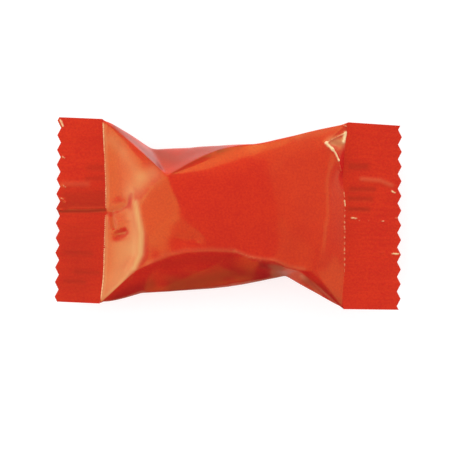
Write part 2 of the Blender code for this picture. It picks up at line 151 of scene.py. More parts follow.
# Facets between the folds, one a line, as runs of corners.
FACETS = """
ear_back_left seal_left_1 ear_band
seal_left_1 seal_left_2 end_left_1 ear_band
ear_band end_left_1 tuck_back
seal_left_2 seal_left_3 end_left_2 end_left_1
seal_left_3 seal_left_4 end_left_3 end_left_2
seal_left_4 end_left_4 end_left_3
seal_left_4 seal_left_5 end_left_5 end_left_4
seal_left_5 ear_front_left end_left_5
ear_back_left ear_band ear_ridge
ear_ridge ear_band tuck_back
ear_back_left ear_ridge brow_back_left
ear_ridge tuck_back waist_back_left brow_back_left
tuck_back back_1 side_back waist_back_left
back_1 back_2 side_back
back_2 side_back_right side_back
back_2 back_3 side_back_right
back_3 waist_back side_back_right
tuck_back end_left_1 cross_1
end_left_1 end_left_2 end_left_3 cross_1
end_left_3 end_left_4 front_2 cross_2 cross_1
end_left_4 end_left_5 front_1 front_2
cross_2 front_2 front_3 front_4
cross_2 front_4 tuck_front
ear_front_left brow_front_left end_left_5
end_left_5 brow_front_left waist_front_left front_1
front_1 waist_front_left cheek_2 front_2
front_2 cheek_2 front_3
front_3 cheek_2 cheek_1 front_4
front_4 cheek_1 tuck_front
waist_front_left side_front_left cheek_2
cheek_2 side_front_left side_front cheek_1
cheek_1 side_front tuck_front
tuck_front side_front side_front_right chin_1 lip_1
chin_1 side_front_right waist_front_right chin_2
lip_1 chin_1 chin_2 lip_3 lip_2
chin_2 waist_front_right lip_4 lip_3
lip_4 waist_front_right brow_front_right jaw
jaw brow_front_right ear_front_right
lip_4 jaw end_right_5
end_right_5 jaw ear_front_right
tuck_back band_1 back_1
back_1 band_1 band_2 back_2
back_2 band_2 band_3 back_3
back_3 band_3 waist_back
tuck_back shelf_1 band_1
band_1 shelf_1 shelf_2 band_2
band_2 shelf_2 shelf_3 band_3
band_3 shelf_3 shelf_4 brow_back waist_back
brow_back shelf_4 shelf_5 brow_back_right
brow_back_right shelf_5 end_right_1 ear_back_right
tuck_back cross_1 crown_1 shelf_1
cross_1 cross_2 crown_1
cross_2 tuck_front crown_1
shelf_1 crown_1 shelf_2
shelf_2 crown_1 crown_2 shelf_3
shelf_3 crown_2 shelf_4
shelf_4 crown_2 shelf_5
shelf_5 crown_2 end_right_2 end_right_1
crown_2 end_right_3 end_right_2
crown_2 end_right_4 end_right_3
crown_1 tuck_front lip_1 crown_2
crown_2 lip_1 lip_2 lip_3
crown_2 lip_3 lip_4 end_right_5 end_right_4
end_right_1 pleat end_right_2
pleat seal_right_2 end_right_2
end_right_2 seal_right_2 seal_right_3 end_right_3
end_right_3 seal_right_3 seal_right_4 end_right_4
end_right_4 seal_right_4 seal_right_5 end_right_5
end_right_5 seal_right_5 ear_front_right
ear_back_right end_right_1 seal_right_1
end_right_1 pleat seal_right_1
seal_right_1 pleat seal_right_2
ear_back_left seal_left_1 flat_back_left
seal_left_1 seal_left_2 flat_left flat_back_left
seal_left_2 seal_left_3 flat_left
seal_left_3 seal_left_4 flat_left
seal_left_4 seal_left_5 flat_front_left flat_left
seal_left_5 ear_front_left flat_front_left
ear_back_left flat_back_left brow_back_left
brow_back_left flat_back_left waist_back_left
waist_back_left flat_back_left side_back
side_back flat_back_left flat_back
side_back flat_back side_back_right
side_back_right flat_back waist_back
waist_back flat_back brow_back
brow_back flat_back flat_back_right brow_back_right
brow_back_right flat_back_right ear_back_right
ear_back_right flat_back_right seal_right_1
seal_right_1 flat_back_right flat_right seal_right_2
seal_right_2 flat_right seal_right_3
seal_right_3 flat_right seal_right_4
seal_right_4 flat_right flat_front_right seal_right_5
seal_right_5 flat_front_right ear_front_right
ear_front_right flat_front_right brow_front_right
brow_front_right flat_front_right waist_front_right
waist_front_right flat_front_right side_front_right
side_front_right flat_front_right flat_front side_front
side_front flat_front side_front_left
side_front_left flat_front flat_front_left waist_front_left
waist_front_left flat_front_left brow_front_left
brow_front_left flat_front_left ear_front_left
flat_front_left flat_front flat_left
flat_left flat_front flat_back flat_back_left
flat_front flat_front_right flat_right
flat_right flat_back_right flat_back flat_front
"""

# How crisp the folds are: 0 is a soft bend and 1 a knife edge.
FOLDS = [
    (1.0, "ear_back_left seal_left_1 seal_left_2 seal_left_3 seal_left_4 seal_left_5 ear_front_left"),
    (1.0, "ear_back_right seal_right_1 seal_right_2 seal_right_3 seal_right_4 seal_right_5 ear_front_right"),
    (0.9, "ear_back_left brow_back_left waist_back_left"),
    (0.5, "waist_back_left side_back side_back_right waist_back"),
    (0.7, "waist_back brow_back"),
    (0.7, "brow_back brow_back_right ear_back_right"),
    (0.9, "ear_front_right brow_front_right waist_front_right"),
    (0.5, "waist_front_right side_front_right side_front side_front_left waist_front_left"),
    (0.9, "waist_front_left brow_front_left ear_front_left"),
    (0.6, "ear_back_left ear_ridge tuck_back"),
    (0.55, "tuck_back back_1 back_2 back_3 waist_back"),
    (0.6, "tuck_back band_1 band_2 band_3 waist_back"),
    (0.2, "tuck_back shelf_1 shelf_2 shelf_3 shelf_4 shelf_5"),
    (0.7, "waist_back_left tuck_back"),
    (0.55, "tuck_back end_left_1 end_left_2 end_left_3 end_left_4 end_left_5"),
    (0.6, "end_left_5 ear_front_left"),
    (0.5, "end_left_5 front_1 front_2 front_3 front_4 tuck_front"),
    (0.55, "tuck_front cheek_1 cheek_2 waist_front_left"),
    (0.55, "tuck_front lip_1 lip_2 lip_3 lip_4 end_right_5 ear_front_right"),
    (0.5, "lip_1 chin_1 chin_2 lip_3"),
    (0.6, "chin_2 waist_front_right lip_4"),
    (0.55, "lip_4 jaw ear_front_right"),
    (0.35, "ear_back_left ear_band tuck_back"),
    (0.5, "end_right_1 end_right_2 end_right_3 end_right_4 end_right_5"),
    (0.6, "end_right_1 pleat seal_right_2"),
    (0.55, "ear_back_right end_right_1 seal_right_1"),
    (0.4, "tuck_back cross_1 cross_2 tuck_front"),
]


def link_mesh(name, mesh):
    """A new object at the origin that carries this mesh."""
    obj = bpy.data.objects.new(name, mesh)
    bpy.context.scene.collection.objects.link(obj)
    return obj


def apply_modifiers(obj):
    """Turns what the modifiers make into the object's own plain mesh."""
    graph = bpy.context.evaluated_depsgraph_get()
    mesh = bpy.data.meshes.new_from_object(obj.evaluated_get(graph))
    obj.modifiers.clear()
    obj.data = mesh


def folded_pillow():
    """The film over the mint: the cage of facets, rounded, and pressed flat where it lies."""
    corners = {**RIM, **UPPER, **LOWER}
    cage = bmesh.new()
    verts = {name: cage.verts.new(Vector(point) * MM) for name, point in corners.items()}
    for line in FACETS.split("\n"):
        if line:
            cage.faces.new([verts[name] for name in line.split()])
    crease = cage.edges.layers.float.new("crease_edge")
    for sharpness, run in FOLDS:
        names = run.split()
        for a, b in zip(names, names[1:]):
            cage.edges.get((verts[a], verts[b]))[crease] = sharpness
    bmesh.ops.recalc_face_normals(cage, faces=cage.faces)
    mesh = bpy.data.meshes.new("film_cage")
    cage.to_mesh(mesh)
    cage.free()
    obj = link_mesh("film_pillow", mesh)
    bend = obj.modifiers.new("film_bend", "SUBSURF")
    bend.levels = bend.render_levels = FILM_LEVELS
    apply_modifiers(obj)
    for vert in obj.data.vertices:
        share = (vert.co.y / MM - REST_FRONT) / (FIN_WIDTH - REST_FRONT)
        vert.co.z = max(vert.co.z, FIN_SHEET * min(1.0, max(0.0, share)) * MM)
    return obj


def to_line(point, line):
    """Distance from a 2-D point to a run of 2-D points."""
    nearest = math.inf
    for a, b in zip(line, line[1:]):
        ab = Vector(b) - Vector(a)
        t = min(1.0, max(0.0, (point - Vector(a)).dot(ab) / ab.length_squared))
        nearest = min(nearest, (point - Vector(a) - ab * t).length)
    return nearest


# Strokes narrower than FINE_STROKE need finer faces, as far as FINE_REACH from their lines.
FINE_STROKE = 0.5
FINE_REACH = 0.7
FINE_CUTS = 2
UPPER_FACE = 0.05
ROUNDING = 3


def refine(obj, strokes):
    """Splits the upper faces near the narrow strokes finely enough to carry them."""
    fine = [line for _, width, _, line in strokes if width < FINE_STROKE]
    mesh = bmesh.new()
    mesh.from_mesh(obj.data)
    edges = set()
    for face in mesh.faces:
        spot = (face.calc_center_median() / MM).to_2d()
        if face.normal.z > UPPER_FACE and any(to_line(spot, line) < FINE_REACH for line in fine):
            edges.update(face.edges)
    edges = sorted(edges, key=lambda edge: edge.index)
    split = bmesh.ops.subdivide_edges(mesh, edges=edges, cuts=FINE_CUTS, use_grid_fill=True)
    fresh = [item for item in split["geom_inner"] if isinstance(item, bmesh.types.BMVert)]
    for _ in range(ROUNDING):
        bmesh.ops.smooth_vert(
            mesh, verts=fresh, factor=0.5, use_axis_x=True, use_axis_y=True, use_axis_z=True
        )
    mesh.to_mesh(obj.data)
    mesh.free()


def bell(flat, width, line):
    """1 on the line, falling off softly to 0 at three half widths from it."""
    gap = to_line(flat, line)
    return math.exp(-((gap / width) ** 2)) if gap < 3 * width else 0.0


# How soon strokes and painted sheen come in full as the film turns up, or to the side that they face.
UPWARD_GAIN = 3.0
FACING_GAIN = 6.0
# The ripple is two waves, one over the other, and it fades in above the table.
SLOW_RIPPLE = 0.22
FINE_RIPPLE = 0.6
FINE_RIPPLE_SHARE = 0.4
RIPPLE_START = 0.6
RIPPLE_FADE = 2.0


def relief(obj, strokes, sheen_marks=(), ripple=0.0):
    """Fine relief on the film's upper face: raised or pressed strokes, and a soft ripple all over.

    A stroke is (height, half width, painted light, line). Its painted light goes into an attribute
    that the film's colour reads: above 0 it paints a pale glint, a painted highlight broken up by
    the grain, and below 0 it paints deeper red shade. A sheen mark is (share, half width, facing,
    line): how much tan sheen is painted on the film that faces that way, a painted highlight in place
    of reflected light. Where facing is None it holds for all the film near the line, and a share below 0
    takes some away.
    """
    mesh = obj.data
    glint_and_shade = mesh.attributes.new("glint_and_shade", "FLOAT", "POINT")
    sheen_paint = mesh.attributes.new("sheen_paint", "FLOAT", "POINT")
    moves = []
    for i, vert in enumerate(mesh.vertices):
        spot = vert.co / MM
        up = min(1.0, max(0.0, vert.normal.z * UPWARD_GAIN))
        rise, painted_sum, thin = 0.0, 0.0, 0.0
        if up:
            flat = spot.to_2d()
            # each stroke's painted light: painted glints above 0, painted shade below 0
            for height, width, light_paint, line in strokes:
                share = bell(flat, width, line)
                rise += height * share
                painted_sum += light_paint * share
            # painted sheen, stronger where the film faces the mark's way
            for share, width, facing, line in sheen_marks:
                turned = vert.normal.to_2d().dot(Vector(facing)) if facing else 1.0
                thin += share * bell(flat, width, line) * min(1.0, max(0.0, turned * FACING_GAIN))
        rise *= up
        if ripple:
            wave = noise.noise(spot * SLOW_RIPPLE)
            wave += FINE_RIPPLE_SHARE * noise.noise(spot * FINE_RIPPLE + Vector((7, 3, 1)))
            rise += ripple * wave * min(1.0, max(0.0, (spot.z - RIPPLE_START) / RIPPLE_FADE))
        glint_and_shade.data[i].value = max(-1.0, min(1.0, painted_sum))
        sheen_paint.data[i].value = min(1.0, thin)
        moves.append(vert.normal * rise * MM)
    for vert, move in zip(mesh.vertices, moves):
        vert.co += move


PILLOW_STROKES = [
    # the bead where the left seal line lifts, with a painted highlight, and the crease that runs in from the
    # fin's edge, with painted shade
    (0.10, 0.13, 0.75, [(-16.85, 12.2), (-16.75, 8.1), (-16.5, 3.0), (-16.55, 0.9)]),
    (0.10, 0.13, 0.75, [(-16.6, -0.2), (-16.7, -4.6), (-16.85, -8.7), (-17.15, -11.4)]),
    (-0.09, 0.45, -0.25, [(-16.2, 0.3), (-14.9, 0.6), (-13.7, 1.3), (-13.1, 2.6)]),
    (-0.06, 0.25, -0.25, [(-15.7, 0.2), (-15.5, -1.0), (-15.4, -1.8)]),
    (0.06, 0.14, 0.1, [(-16.1, -0.3), (-15.9, -1.8)]),
    # the dimple beside it, with painted shade in it and a faint painted highlight above
    (-0.24, 0.50, -0.40, [(-14.9, -2.8), (-14.1, -2.5)]),
    (0.05, 0.35, 0.1, [(-14.8, -1.1), (-14.0, -0.8), (-13.2, -0.7)]),
    # the hollow in the end face's back half, and the bulge along its inner edge
    (-0.14, 1.3, 0.0, [(-15.1, 8.0), (-14.7, 5.0), (-14.6, 2.6)]),
    (0.16, 0.7, 0.0, [(-12.9, 2.4), (-12.3, 0.0), (-11.9, -3.0), (-12.0, -5.6), (-13.0, -7.6)]),
    # the dent in the left of the top
    (-0.16, 0.9, 0.0, [(-6.2, -3.4), (-4.6, -3.4)]),
    # the pleat by the right seal: its two edges, its pocket and the film that flares beside it, with painted
    # highlights on the edges and the flare
    (0.07, 0.13, 0.5, [(12.95, 9.5), (14.3, 10.25), (15.4, 10.8)]),
    (0.14, 0.26, 1.0, [(12.95, 9.45), (13.75, 8.7)]),
    (0.12, 0.18, 0.9, [(13.75, 8.7), (14.25, 8.0), (14.6, 7.2)]),
    (0.08, 0.14, 0.3, [(14.6, 7.2), (14.95, 5.8)]),
    (-0.22, 0.40, 0.0, [(13.9, 9.5), (14.6, 9.2)]),
    (0.10, 0.32, 1.0, [(15.65, 10.9), (15.5, 10.3), (15.3, 9.7)]),
    (0.06, 0.12, 0.6, [(15.3, 11.9), (15.7, 11.75)]),
    # the fold at the front tuck, with a painted highlight
    (0.06, 0.2, 0.3, [(1.0, -5.0), (2.6, -5.7), (4.2, -6.0)]),
    # painted shade, with no relief, from the back wall round to the rim along the front: the back wall,
    # its two folds, the ear's ridge, the front wall, the band above it, the hollow under the lip,
    # the jaw, the left ear and the rim
    (0.0, 1.1, -0.8, [(-10.0, 8.3), (-7.0, 7.2), (-4.6, 8.2), (-1.4, 8.9)]),
    (0.0, 0.3, -0.45, [(-7.4, 5.4), (-4.6, 6.9), (-2.6, 7.7)]),
    (0.0, 0.3, -0.4, [(-1.4, 8.3), (1.6, 8.9)]),
    (0.0, 0.3, -0.9, [(-15.4, 11.7), (-12.2, 9.3), (-9.0, 6.1)]),
    (0.0, 1.3, -0.9, [(-7.4, -9.5), (-3.0, -8.9), (0.5, -8.0), (3.4, -8.2), (6.4, -8.3)]),
    (0.0, 0.8, -0.3, [(-8.5, -6.7), (-5.7, -6.2), (-2.0, -5.9), (0.2, -5.9)]),
    (0.0, 0.45, -0.75, [(4.3, -6.75), (5.5, -6.95), (6.9, -7.2)]),
    (0.0, 0.6, -0.7, [(10.4, -8.9), (12.6, -10.1), (14.8, -12.0)]),
    (0.0, 0.8, -0.7, [(-16.6, -12.0), (-13.2, -10.2), (-10.4, -9.4)]),
    (0.0, 0.5, -0.5, [(-15.0, -11.7), (-11.8, -10.7), (-5.3, -10.3), (1.2, -9.8), (7.5, -8.3)]),
]
# painted glints along the right seal line, on small raised nicks: long ones behind, then a row of dots to
# the front ear
SEAL_GLINTS = 16
SEAL_GLINT_PITCH = 0.72
for y_back, y_front in [(4.9, 4.7), (3.4, 3.2), (2.9, 2.3), (1.8, 1.1)]:
    PILLOW_STROKES.append((0.06, 0.15, 0.9, [(15.45, y_back), (15.55, y_front)]))
for k in range(SEAL_GLINTS):
    y = 0.5 - SEAL_GLINT_PITCH * k
    PILLOW_STROKES.append((0.05, 0.13, 0.6, [(15.5, y), (15.5, y - 0.05 - 0.1 * (k % 4))]))
# Painted sheen: a tan highlight painted on the film that faces the given way, in place of reflected light.
PILLOW_SHEEN_MARKS = [
    # the end face: its low half, the ridge along it and the fan below the back tuck
    (0.44, 2.0, (-0.9, 0.35), [(-13.9, -4.6), (-14.2, -7.6), (-15.6, -10.0)]),
    (0.35, 0.9, (-0.9, 0.35), [(-12.9, 0.0), (-12.4, -2.6), (-12.5, -5.0)]),
    (0.74, 0.35, (-0.9, 0.35), [(-12.4, 1.6), (-12.1, 0.0), (-11.6, -2.6), (-11.7, -5.4), (-12.6, -7.2)]),
    (0.30, 0.35, (-0.9, 0.35), [(-12.9, -7.6), (-14.8, -9.6), (-16.8, -11.4)]),
    (0.42, 1.2, (-0.9, 0.0), [(-10.2, 5.3), (-11.8, 4.4), (-12.6, 3.0)]),
    (0.20, 0.8, (-0.9, 0.0), [(-15.8, 10.0), (-13.4, 7.4), (-12.0, 5.2)]),
    # the dimple, where painted sheen is taken away
    (-0.35, 0.7, None, [(-14.9, -2.9), (-14.1, -2.6)]),
    # the bead along the left seal line
    (0.30, 0.22, None, [(-16.7, 11.9), (-16.6, 8.1), (-16.3, 3.0), (-16.4, 0.9)]),
    (0.30, 0.22, None, [(-16.4, -0.2), (-16.5, -4.6), (-16.7, -8.7), (-17.0, -11.4)]),
    # the pleat's pocket and flare, and the rim that runs to it
    (0.65, 0.7, None, [(13.8, 9.6), (15.0, 9.6)]),
    (0.12, 0.5, None, [(9.0, 10.3), (14.6, 11.8)]),
    # the streak down the jaw
    (0.30, 0.28, None, [(9.7, -8.3), (10.9, -9.4), (12.3, -10.9)]),
    # the film's edges along the front wall
    (0.10, 0.30, None, [(-10.8, -6.6), (-8.6, -5.5), (-5.7, -4.8), (-2.1, -4.7), (0.6, -4.9)]),
    (0.14, 0.25, None, [(0.8, -4.9), (2.6, -5.6), (4.4, -5.95), (6.0, -6.1), (8.0, -7.1), (10.0, -7.3)]),
]


# ---------------------------------------------------------------------------------------------
# The lacquered film's finish: a translucent orange-red lacquer over bright metal, under a clear
# gloss. Lacquer thickness drifts a little and it has a fine print grain; over it lie painted glints, painted
# sheen and painted shade.
# ---------------------------------------------------------------------------------------------
# The pattern lies on the pieces' own coordinates, so its two sizes are in metres. The other three
# are how many times it repeats in a metre.
GRAIN_SIZE = 0.00026
STREAK_LENGTH = 0.004
STREAK_FINENESS = 2600.0
STREAK_RISE = 600.0
MOTTLE_SCALE = 260.0


def feed(tree, socket, value):
    """Gives an input another node's output, or a plain value."""
    if isinstance(value, bpy.types.NodeSocket):
        tree.links.new(value, socket)
    else:
        socket.default_value = value


def step(tree, operation, *values):
    """One maths node on sockets or numbers; gives its output socket."""
    node = tree.nodes.new("ShaderNodeMath")
    node.operation = operation
    for socket, value in zip(node.inputs, values):
        feed(tree, socket, value)
    return node.outputs[0]


def mottled(tree, vector, **values):
    """A noise texture over the given places; gives its strength socket."""
    node = tree.nodes.new("ShaderNodeTexNoise")
    tree.links.new(vector, node.inputs["Vector"])
    for name, value in values.items():
        feed(tree, node.inputs[name], value)
    return node.outputs["Fac"]


def film_print_group():
    """Mottle, grain and streaks of the printed film, for the pillow and the crimps alike."""
    tree = bpy.data.node_groups.new("film_print", "ShaderNodeTree")
    tree.interface.new_socket(name="Position", in_out="INPUT", socket_type="NodeSocketVector")
    for name, size in (("Grain Size", GRAIN_SIZE), ("Streak Length", STREAK_LENGTH)):
        socket = tree.interface.new_socket(name=name, in_out="INPUT", socket_type="NodeSocketFloat")
        socket.default_value = size
    for name in ("Mottle", "Grain", "Streak"):
        tree.interface.new_socket(name=name, in_out="OUTPUT", socket_type="NodeSocketFloat")
    start = tree.nodes.new("NodeGroupInput")
    end = tree.nodes.new("NodeGroupOutput")
    position = start.outputs["Position"]
    mottle = mottled(tree, position, Scale=MOTTLE_SCALE, Detail=2.0, Roughness=0.5)
    fineness = step(tree, "DIVIDE", 1.0, start.outputs["Grain Size"])
    grain = mottled(tree, position, Scale=fineness, Detail=1.0, Roughness=0.6)
    drawn = tree.nodes.new("ShaderNodeVectorMath")
    drawn.operation = "MULTIPLY"
    scales = tree.nodes.new("ShaderNodeCombineXYZ")
    feed(tree, scales.inputs["X"], step(tree, "DIVIDE", 1.0, start.outputs["Streak Length"]))
    feed(tree, scales.inputs["Y"], STREAK_FINENESS)
    feed(tree, scales.inputs["Z"], STREAK_RISE)
    tree.links.new(position, drawn.inputs[0])
    tree.links.new(scales.outputs[0], drawn.inputs[1])
    streak = mottled(tree, drawn.outputs[0], Scale=1.0, Detail=1.0)
    for name, strength in (("Mottle", mottle), ("Grain", grain), ("Streak", streak)):
        tree.links.new(strength, end.inputs[name])
    return tree


FILM_PRINT = film_print_group()
# The gloss: how strongly it mirrors, its tint and how far the grain varies and dents it.
FILM_IOR = 1.5
GLOSS_TINT = (0.75, 1.0, 0.18, 1.0)
GLOSS_SPREAD = 0.08
GRAIN_BUMP = 0.000002
# How far each effect moves the colour from the deep to the thin lacquer, and how the painted glints come in.
MOTTLE_SHARE = 1.2
GRAIN_SHARE = 2.4
GLINT_GRAIN = 1.5
GLINT_START = -1.15
GLINT_GAIN = 1.6
LACQUER_DEEP = (0.555, 0.0040, 0.0110, 1.0)
LACQUER_THIN = (0.635, 0.0140, 0.0108, 1.0)
# painted shade in deeper red, painted tan sheen and painted pale glints
PAINTED_SHADE = (0.35, 0.0030, 0.0095, 1.0)
PAINTED_SHEEN = (0.66, 0.27, 0.12, 1.0)
PAINTED_GLINT = (0.92, 0.66, 0.36, 1.0)


def mix_colour(tree, factor, a, b):
    """Goes from colour a to colour b as the factor rises from 0 to 1."""
    node = tree.nodes.new("ShaderNodeMix")
    node.data_type = "RGBA"
    for socket, value in ((node.inputs[0], factor), (node.inputs[6], a), (node.inputs[7], b)):
        feed(tree, socket, value)
    return node.outputs[2]


def on_film(tree, name):
    """Reads one of the film's own attributes."""
    node = tree.nodes.new("ShaderNodeAttribute")
    node.attribute_name = name
    return node.outputs["Fac"]


def film_material(name, gloss, streak_share):
    """Lacquered film. gloss is its roughness, streak_share how far the streaks show in its colour."""
    material = bpy.data.materials.new(name)
    material.use_nodes = True
    tree = material.node_tree
    shader = tree.nodes["Principled BSDF"]
    place = tree.nodes.new("ShaderNodeTexCoord")
    film = tree.nodes.new("ShaderNodeGroup")
    film.node_tree = FILM_PRINT
    tree.links.new(place.outputs["Object"], film.inputs["Position"])
    thin = 0.5
    for effect, share in (("Mottle", MOTTLE_SHARE), ("Grain", GRAIN_SHARE), ("Streak", streak_share)):
        without = step(tree, "SUBTRACT", thin, share / 2)
        thin = step(tree, "MULTIPLY_ADD", film.outputs[effect], share, without)
    colour = mix_colour(tree, thin, LACQUER_DEEP, LACQUER_THIN)
    # painted sheen: a tan highlight where the film's sheen attribute says
    colour = mix_colour(tree, on_film(tree, "sheen_paint"), colour, PAINTED_SHEEN)
    # painted shade in deeper red where the glint and shade attribute is below 0
    glint_and_shade = on_film(tree, "glint_and_shade")
    shade_share = step(tree, "MAXIMUM", step(tree, "MULTIPLY", glint_and_shade, -1.0), 0.0)
    colour = mix_colour(tree, shade_share, colour, PAINTED_SHADE)
    # painted glints in pale cream where that attribute is above 0, broken up by the grain
    glint_share = step(tree, "MAXIMUM", glint_and_shade, 0.0)
    light_paint = step(tree, "MULTIPLY_ADD", film.outputs["Grain"], GLINT_GRAIN, GLINT_START)
    light_paint = step(tree, "MULTIPLY_ADD", glint_share, GLINT_GAIN, light_paint)
    light_paint = step(tree, "MAXIMUM", step(tree, "MINIMUM", light_paint, 1.0), 0.0)
    colour = mix_colour(tree, step(tree, "MULTIPLY", light_paint, glint_share), colour, PAINTED_GLINT)
    tree.links.new(colour, shader.inputs["Base Color"])
    rough = step(
        tree, "MULTIPLY_ADD", film.outputs["Grain"], GLOSS_SPREAD, gloss - GLOSS_SPREAD / 2
    )
    tree.links.new(rough, shader.inputs["Roughness"])
    shader.inputs["IOR"].default_value = FILM_IOR
    shader.inputs["Specular Tint"].default_value = GLOSS_TINT
    bump = tree.nodes.new("ShaderNodeBump")
    bump.inputs["Distance"].default_value = GRAIN_BUMP
    bump.inputs["Strength"].default_value = 1.0
    tree.links.new(film.outputs["Grain"], bump.inputs["Height"])
    tree.links.new(bump.outputs["Normal"], shader.inputs["Normal"])
    return material


smooth_film = film_material("smooth_film", gloss=0.17, streak_share=0.2)
pillow = folded_pillow()
refine(pillow, PILLOW_STROKES)
relief(pillow, PILLOW_STROKES, PILLOW_SHEEN_MARKS, ripple=0.06)

# ---------------------------------------------------------------------------------------------
# The two crimps: the flattened ends of the film tube, heat-sealed between ribbed jaws and cut off
# by a zigzag knife. The ribs run along the wrap, and the folded fin seal makes the middle thicker.
# ---------------------------------------------------------------------------------------------
CRIMP_COLUMNS = 36
CRIMP_ROWS = 500
CRIMP_SHEET = 0.14
CRIMP_SAG = 0.35
CRIMP_BITE = 1.0
CRIMP_WELD = 1e-6
TOOTH_PITCH = 1.97
TOOTH_DEPTH = 0.5
RIB_PITCH = 0.66
RIB_DEPTH = 0.004
RIB_DRIFT = 0.06
PRESS_START = 0.08
PRESS_FULL = 0.35
BOW_RUN = 8.0
WRINKLE_ALONG = 90.0
WRINKLE_ACROSS = 620.0
EDGE_LEFT = [(-23.0, 13.0), (-23.4, -11.75)]
EDGE_RIGHT = [(23.2, 11.85), (23.0, -12.85)]
FIRST_TIP_LEFT = 0.45
FIRST_TIP_RIGHT = 1.55


def crimp_tree():
    """Geometry nodes for one crimp: a grid laid from the seal line to the zigzag, with its ribs."""
    tree = bpy.data.node_groups.new("crimp_sheet", "GeometryNodeTree")
    tree.interface.new_socket(name="Geometry", in_out="OUTPUT", socket_type="NodeSocketGeometry")
    for name in ("Seal Back", "Seal Front", "Edge Back", "Edge Front"):
        tree.interface.new_socket(name=name, in_out="INPUT", socket_type="NodeSocketVector")
    for name in (
        "Tooth Pitch", "Tooth Depth", "First Tip", "Rib Pitch", "Rib Depth", "Sheet", "Sag",
        "Rib Drift", "Fin Width", "Fin Sheet", "Bite",
    ):
        tree.interface.new_socket(name=name, in_out="INPUT", socket_type="NodeSocketFloat")
    tree.interface.new_socket(name="Film", in_out="INPUT", socket_type="NodeSocketMaterial")
    start = tree.nodes.new("NodeGroupInput")
    given = start.outputs

    # a flat grid, and how far out to the cut edge and how far to the front each point of it lies
    grid = tree.nodes.new("GeometryNodeMeshGrid")
    grid.inputs["Vertices X"].default_value = CRIMP_COLUMNS
    grid.inputs["Vertices Y"].default_value = CRIMP_ROWS
    spot = tree.nodes.new("ShaderNodeSeparateXYZ")
    tree.links.new(tree.nodes.new("GeometryNodeInputPosition").outputs[0], spot.inputs[0])
    out_share = step(tree, "ADD", spot.outputs["X"], 0.5)
    front_share = step(tree, "SUBTRACT", 0.5, spot.outputs["Y"])

    def between(factor, a, b):
        """A place part of the way from a to b."""
        node = tree.nodes.new("ShaderNodeMix")
        node.data_type = "VECTOR"
        tree.links.new(factor, node.inputs[0])
        tree.links.new(a, node.inputs[4])
        tree.links.new(b, node.inputs[5])
        return node.outputs[1]

    # its place on the crimp, which reaches a little into the pillow between the ears
    seal = between(front_share, given["Seal Back"], given["Seal Front"])
    edge = between(front_share, given["Edge Back"], given["Edge Front"])
    flat = tree.nodes.new("ShaderNodeSeparateXYZ")
    tree.links.new(between(out_share, seal, edge), flat.inputs[0])
    to_ear = step(tree, "MINIMUM", front_share, step(tree, "SUBTRACT", 1.0, front_share))
    bow = step(tree, "MINIMUM", step(tree, "MULTIPLY", to_ear, BOW_RUN), 1.0)
    bite = step(tree, "MULTIPLY", bow, step(tree, "SUBTRACT", 1.0, out_share))
    bite = step(tree, "MULTIPLY", bite, given["Bite"])
    length = tree.nodes.new("ShaderNodeVectorMath")
    length.operation = "DISTANCE"
    tree.links.new(given["Edge Back"], length.inputs[0])
    tree.links.new(given["Edge Front"], length.inputs[1])
    along = step(tree, "MULTIPLY", front_share, length.outputs["Value"])

    # the zigzag, cut deepest at the edge and not at all at the seal line
    half = step(tree, "MULTIPLY", given["Tooth Pitch"], 0.5)
    notch = step(tree, "PINGPONG", step(tree, "SUBTRACT", along, given["First Tip"]), half)
    notch = step(tree, "DIVIDE", notch, half)
    side = tree.nodes.new("ShaderNodeSeparateXYZ")
    tree.links.new(given["Edge Back"], side.inputs[0])
    out = step(tree, "SIGN", side.outputs["X"])
    cut = step(tree, "MULTIPLY", step(tree, "MULTIPLY", notch, given["Tooth Depth"]), out_share)
    inward = step(tree, "MULTIPLY", step(tree, "ADD", cut, bite), out)
    x = step(tree, "SUBTRACT", flat.outputs["X"], inward)

    # the pressed ribs and small wrinkles, and the sag of the free end
    pressed = tree.nodes.new("ShaderNodeMapRange")
    pressed.interpolation_type = "SMOOTHSTEP"
    tree.links.new(out_share, pressed.inputs["Value"])
    pressed.inputs["From Min"].default_value = PRESS_START
    pressed.inputs["From Max"].default_value = PRESS_FULL
    turn = step(tree, "MULTIPLY", step(tree, "DIVIDE", along, given["Rib Pitch"]), math.tau)
    rib = step(tree, "MULTIPLY", step(tree, "COSINE", turn), given["Rib Depth"])
    lay = tree.nodes.new("ShaderNodeCombineXYZ")
    tree.links.new(step(tree, "MULTIPLY", flat.outputs["X"], WRINKLE_ALONG), lay.inputs["X"])
    tree.links.new(step(tree, "MULTIPLY", along, WRINKLE_ACROSS), lay.inputs["Y"])
    uneven = mottled(tree, lay.outputs[0], Scale=1.0, Detail=2.0)
    drift = step(tree, "MULTIPLY", step(tree, "SUBTRACT", uneven, 0.5), given["Rib Drift"])
    rise = step(tree, "MULTIPLY", step(tree, "ADD", rib, drift), pressed.outputs["Result"])
    sag = step(tree, "MULTIPLY", step(tree, "POWER", out_share, 2.0), given["Sag"])
    z = step(tree, "ADD", step(tree, "SUBTRACT", flat.outputs["Z"], sag), rise)
    laid = tree.nodes.new("ShaderNodeCombineXYZ")
    for name, value in (("X", x), ("Y", flat.outputs["Y"]), ("Z", z)):
        tree.links.new(value, laid.inputs[name])

    # the sheet's thickness, with the fin seal inside at the middle
    over_fin = step(
        tree, "MULTIPLY",
        step(tree, "GREATER_THAN", flat.outputs["Y"], 0.0),
        step(tree, "LESS_THAN", flat.outputs["Y"], given["Fin Width"]),
    )
    store = tree.nodes.new("GeometryNodeStoreNamedAttribute")
    store.inputs["Name"].default_value = "thickness"
    tree.links.new(grid.outputs["Mesh"], store.inputs["Geometry"])
    tree.links.new(
        step(tree, "MULTIPLY_ADD", over_fin, given["Fin Sheet"], given["Sheet"]), store.inputs["Value"]
    )
    move = tree.nodes.new("GeometryNodeSetPosition")
    tree.links.new(store.outputs["Geometry"], move.inputs["Geometry"])
    tree.links.new(laid.outputs[0], move.inputs["Position"])
    thickness = tree.nodes.new("GeometryNodeInputNamedAttribute")
    thickness.inputs["Name"].default_value = "thickness"

